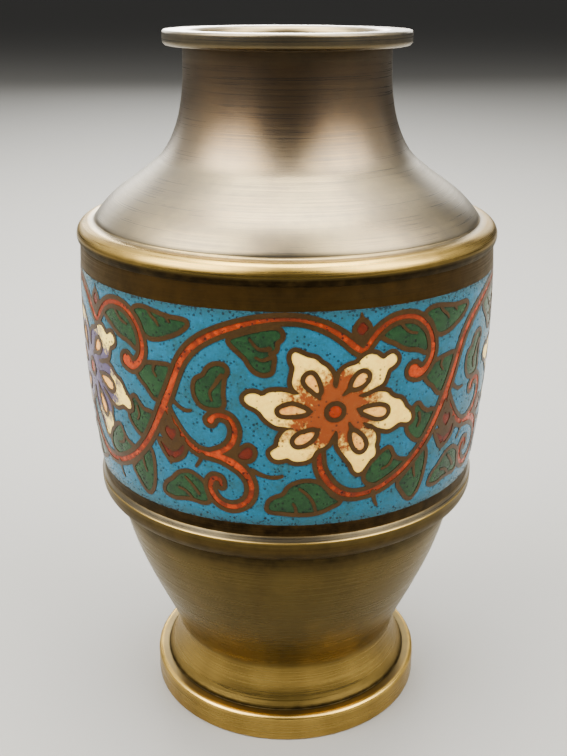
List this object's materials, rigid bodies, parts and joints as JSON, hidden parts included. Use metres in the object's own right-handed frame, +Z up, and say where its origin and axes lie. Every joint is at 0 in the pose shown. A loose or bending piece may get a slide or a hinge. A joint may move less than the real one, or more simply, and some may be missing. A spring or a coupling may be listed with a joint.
{
  "type": "vase",
  "caption": "Baluster vase of cast brass with a flat lip, moulded beads and a band of champlevé enamel round the belly, showing flowers on a scrolling vine.",
  "frame": {"origin": "middle of the foot's underside, on the axis of the vase", "axes": "+Z up along the axis of the vase; the side that faces -Y is the one the picture shows"},
  "size_m": [0.1066, 0.1066, 0.18],
  "materials": {
    "brass": "aged brass with a dark brown patina, satin on the neck and worn bright on the beads, lip and foot",
    "enamel": "opaque glossy enamel, turquoise ground with pits, orange vine, green leaves and cream flowers between brass lines"
  },
  "bodies": {
    "root": {"vase_body": "brass", "enamel_band": "enamel"}
  },
  "joints": []
}
